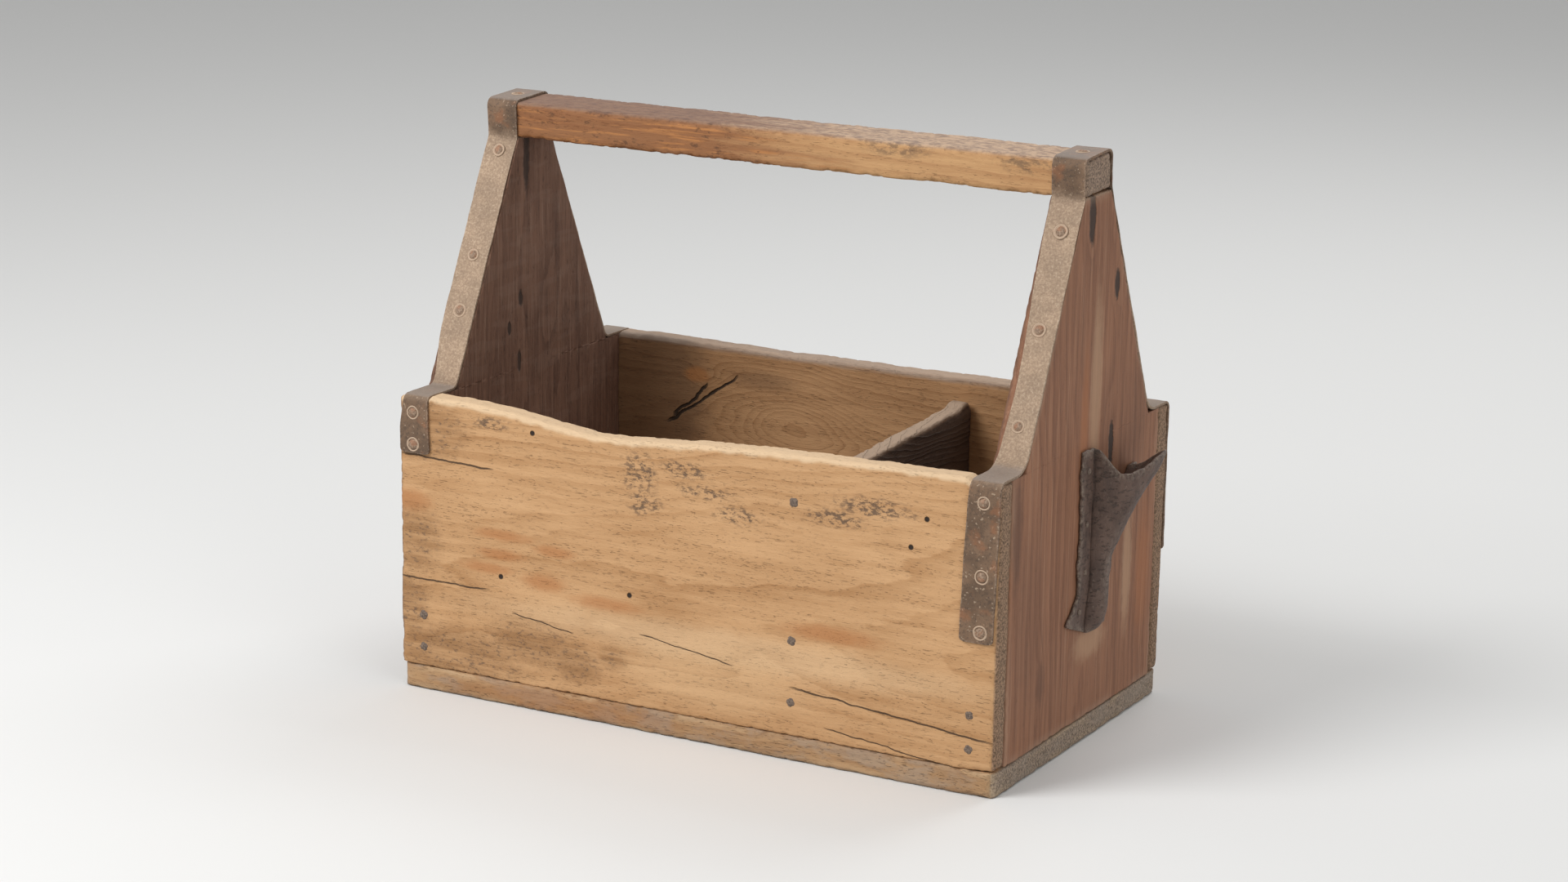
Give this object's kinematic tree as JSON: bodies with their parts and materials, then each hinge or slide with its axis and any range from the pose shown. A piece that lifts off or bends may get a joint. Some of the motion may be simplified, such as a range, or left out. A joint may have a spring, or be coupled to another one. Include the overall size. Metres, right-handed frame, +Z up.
{
  "type": "tool tote",
  "caption": "Old open wooden tool box with gabled ends, a bar handle held by bent iron straps, a divider and a leather tool sheath.",
  "frame": {"origin": "centre of the bottom board's underside, midway between the outer faces of the end boards and of the front and back boards", "axes": "+X along the box to the right end with the sheath, -Y out of the front board, +Z up"},
  "size_m": [0.534, 0.2964, 0.4397],
  "materials": {
    "bottom_wood": "weathered bare pine, grey and worn at the edges",
    "side_wood": "bare golden pine with long grain, stains and dark smudges",
    "end_wood": "bare reddish-brown wood with upright grain, worn smooth",
    "handle_wood": "bare wood, hand-polished, dark on the left and golden on the right",
    "divider_wood": "dark aged wood with a worn pale top edge",
    "strap_iron": "old hoop iron, pitted brown rust with rubbed grey faces",
    "sheath_leather": "dark hard old leather, creased and scuffed",
    "nail_iron": "dark rusted iron"
  },
  "bodies": {
    "root": {"bottom_board": "bottom_wood", "front_board": "side_wood", "back_board": "side_wood", "left_end_board": "end_wood", "right_end_board": "end_wood", "handle_bar": "handle_wood", "left_strap": "strap_iron", "right_strap": "strap_iron", "divider": "divider_wood", "leather_sheath": "sheath_leather", "bottom_nails": "nail_iron", "front_corner_nails": "nail_iron", "back_corner_nails": "nail_iron", "front_divider_nails": "nail_iron", "back_divider_nails": "nail_iron", "left_strap_nails": "nail_iron", "right_strap_nails": "nail_iron", "sheath_tacks": "nail_iron"}
  },
  "joints": []
}
